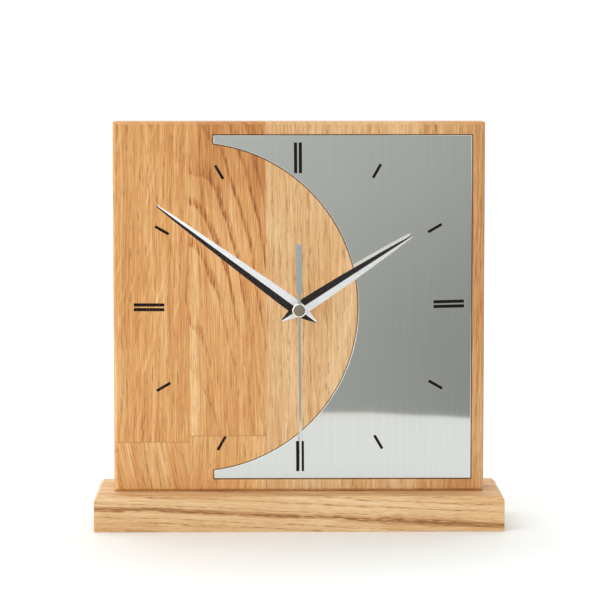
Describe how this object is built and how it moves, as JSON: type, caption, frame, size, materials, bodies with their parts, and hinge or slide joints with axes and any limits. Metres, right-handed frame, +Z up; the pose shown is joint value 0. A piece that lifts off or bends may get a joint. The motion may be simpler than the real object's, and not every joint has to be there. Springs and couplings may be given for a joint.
{
  "type": "mantel clock",
  "caption": "Oak board mantel clock on a plinth, with a curved steel inlay, printed hour marks, three hands and a battery quartz movement at the back.",
  "frame": {"origin": "middle of the plinth's underside", "axes": "+Z up, the dial faces -Y, +X to the right of someone reading the dial"},
  "size_m": [0.22, 0.06, 0.219],
  "materials": {
    "oak": "oiled",
    "oak_base": "oiled",
    "inlay_steel": "brushed",
    "mark_ink": "printed ink",
    "hand_metal": "half polished, half black lacquer",
    "second_hand_metal": "satin lacquer",
    "zinc_steel": "zinc plated",
    "arbor_wheel": "moulded",
    "wheel_plastic": "moulded",
    "wheel_brass": "bright",
    "magnet": "ground",
    "spring_steel": "nickel plated",
    "knob_plastic": "moulded",
    "case_plastic": "fine spark texture",
    "brass": "turned",
    "rubber": "matt",
    "plate_plastic": "moulded",
    "soft_iron": "annealed",
    "copper_wire": "enamelled copper wire",
    "board_laminate": "solder mask",
    "chip_resin": "resin",
    "can_metal": "drawn can",
    "cell_sleeve": "printed sleeve with bare ends"
  },
  "bodies": {
    "clock_body": {"base_plinth": "oak_base", "base_screws": "zinc_steel", "stave_1_lower": "oak", "stave_1_upper": "oak", "stave_2_lower": "oak", "stave_2_upper": "oak", "stave_3": "oak", "stave_4": "oak", "stave_5": "oak", "steel_inlay": "inlay_steel", "hour_marks_wood": "mark_ink", "hour_marks_steel": "mark_ink", "movement_case": "case_plastic", "case_cover": "case_plastic", "threaded_bushing": "brass", "rubber_gasket": "rubber", "fixing_nut": "brass", "train_plate": "plate_plastic", "train_bridge": "plate_plastic", "stator": "soft_iron", "coil_core": "soft_iron", "coil_winding": "copper_wire", "coil_bobbin": "plate_plastic", "coil_screws": "zinc_steel", "circuit_board": "board_laminate", "controller_chip": "chip_resin", "quartz_crystal": "can_metal", "positive_contact": "spring_steel", "negative_contact": "spring_steel"},
    "second_hand_body": {"second_hand": "second_hand_metal", "second_wheel": "arbor_wheel"},
    "fifth_wheel_body": {"fifth_wheel": "wheel_plastic"},
    "rotor_body": {"rotor": "magnet"},
    "third_wheel_body": {"third_wheel": "wheel_plastic"},
    "centre_wheel_body": {"centre_wheel": "wheel_brass"},
    "minute_hand_body": {"minute_hand": "hand_metal", "cannon_pinion": "wheel_plastic", "clutch_spring": "spring_steel"},
    "minute_work_body": {"minute_work_wheel": "wheel_plastic"},
    "hour_hand_body": {"hour_hand": "hand_metal", "hour_wheel": "wheel_plastic"},
    "setting_body": {"setting_arbor": "wheel_plastic", "setting_knob": "knob_plastic"},
    "battery_body": {"battery_cell": "cell_sleeve"}
  },
  "joints": [
    {"name": "second_hand_turn", "type": "hinge", "parent": "clock_body", "child": "second_hand_body", "pos_m": [0, 0, 0.119], "axis": [0, 1, 0], "continuous": true},
    {"name": "fifth_wheel_turn", "type": "hinge", "parent": "clock_body", "child": "fifth_wheel_body", "pos_m": [0.00386, 0, 0.1236], "axis": [0, 1, 0], "continuous": true},
    {"name": "rotor_turn", "type": "hinge", "parent": "clock_body", "child": "rotor_body", "pos_m": [0.00871, 0, 0.1264], "axis": [0, 1, 0], "continuous": true},
    {"name": "third_wheel_turn", "type": "hinge", "parent": "clock_body", "child": "third_wheel_body", "pos_m": [-0.00689, 0, 0.12111], "axis": [0, 1, 0], "continuous": true},
    {"name": "centre_wheel_turn", "type": "hinge", "parent": "clock_body", "child": "centre_wheel_body", "pos_m": [0, 0, 0.119], "axis": [0, 1, 0], "continuous": true},
    {"name": "minute_hand_turn", "type": "hinge", "parent": "clock_body", "child": "minute_hand_body", "pos_m": [0, 0, 0.119], "axis": [0, 1, 0], "continuous": true},
    {"name": "minute_work_turn", "type": "hinge", "parent": "clock_body", "child": "minute_work_body", "pos_m": [0.00658, 0, 0.11661], "axis": [0, 1, 0], "continuous": true},
    {"name": "hour_hand_turn", "type": "hinge", "parent": "clock_body", "child": "hour_hand_body", "pos_m": [0, 0, 0.119], "axis": [0, 1, 0], "continuous": true},
    {"name": "setting_knob_turn", "type": "hinge", "parent": "clock_body", "child": "setting_body", "pos_m": [0.01417, 0, 0.1145], "axis": [0, 1, 0], "continuous": true},
    {"name": "battery_slide", "type": "slide", "parent": "clock_body", "child": "battery_body", "axis": [0, 1, 0], "range_m": [0, 0.025]}
  ],
  "couplings": [
    {"joint": "fifth_wheel_turn", "follows": "second_hand_turn", "ratio": -5},
    {"joint": "rotor_turn", "follows": "second_hand_turn", "ratio": 30},
    {"joint": "third_wheel_turn", "follows": "second_hand_turn", "ratio": -0.13333},
    {"joint": "centre_wheel_turn", "follows": "second_hand_turn", "ratio": 0.016667},
    {"joint": "minute_work_turn", "follows": "minute_hand_turn", "ratio": -0.33333},
    {"joint": "hour_hand_turn", "follows": "minute_hand_turn", "ratio": 0.083333},
    {"joint": "setting_knob_turn", "follows": "minute_hand_turn", "ratio": 0.66667}
  ]
}
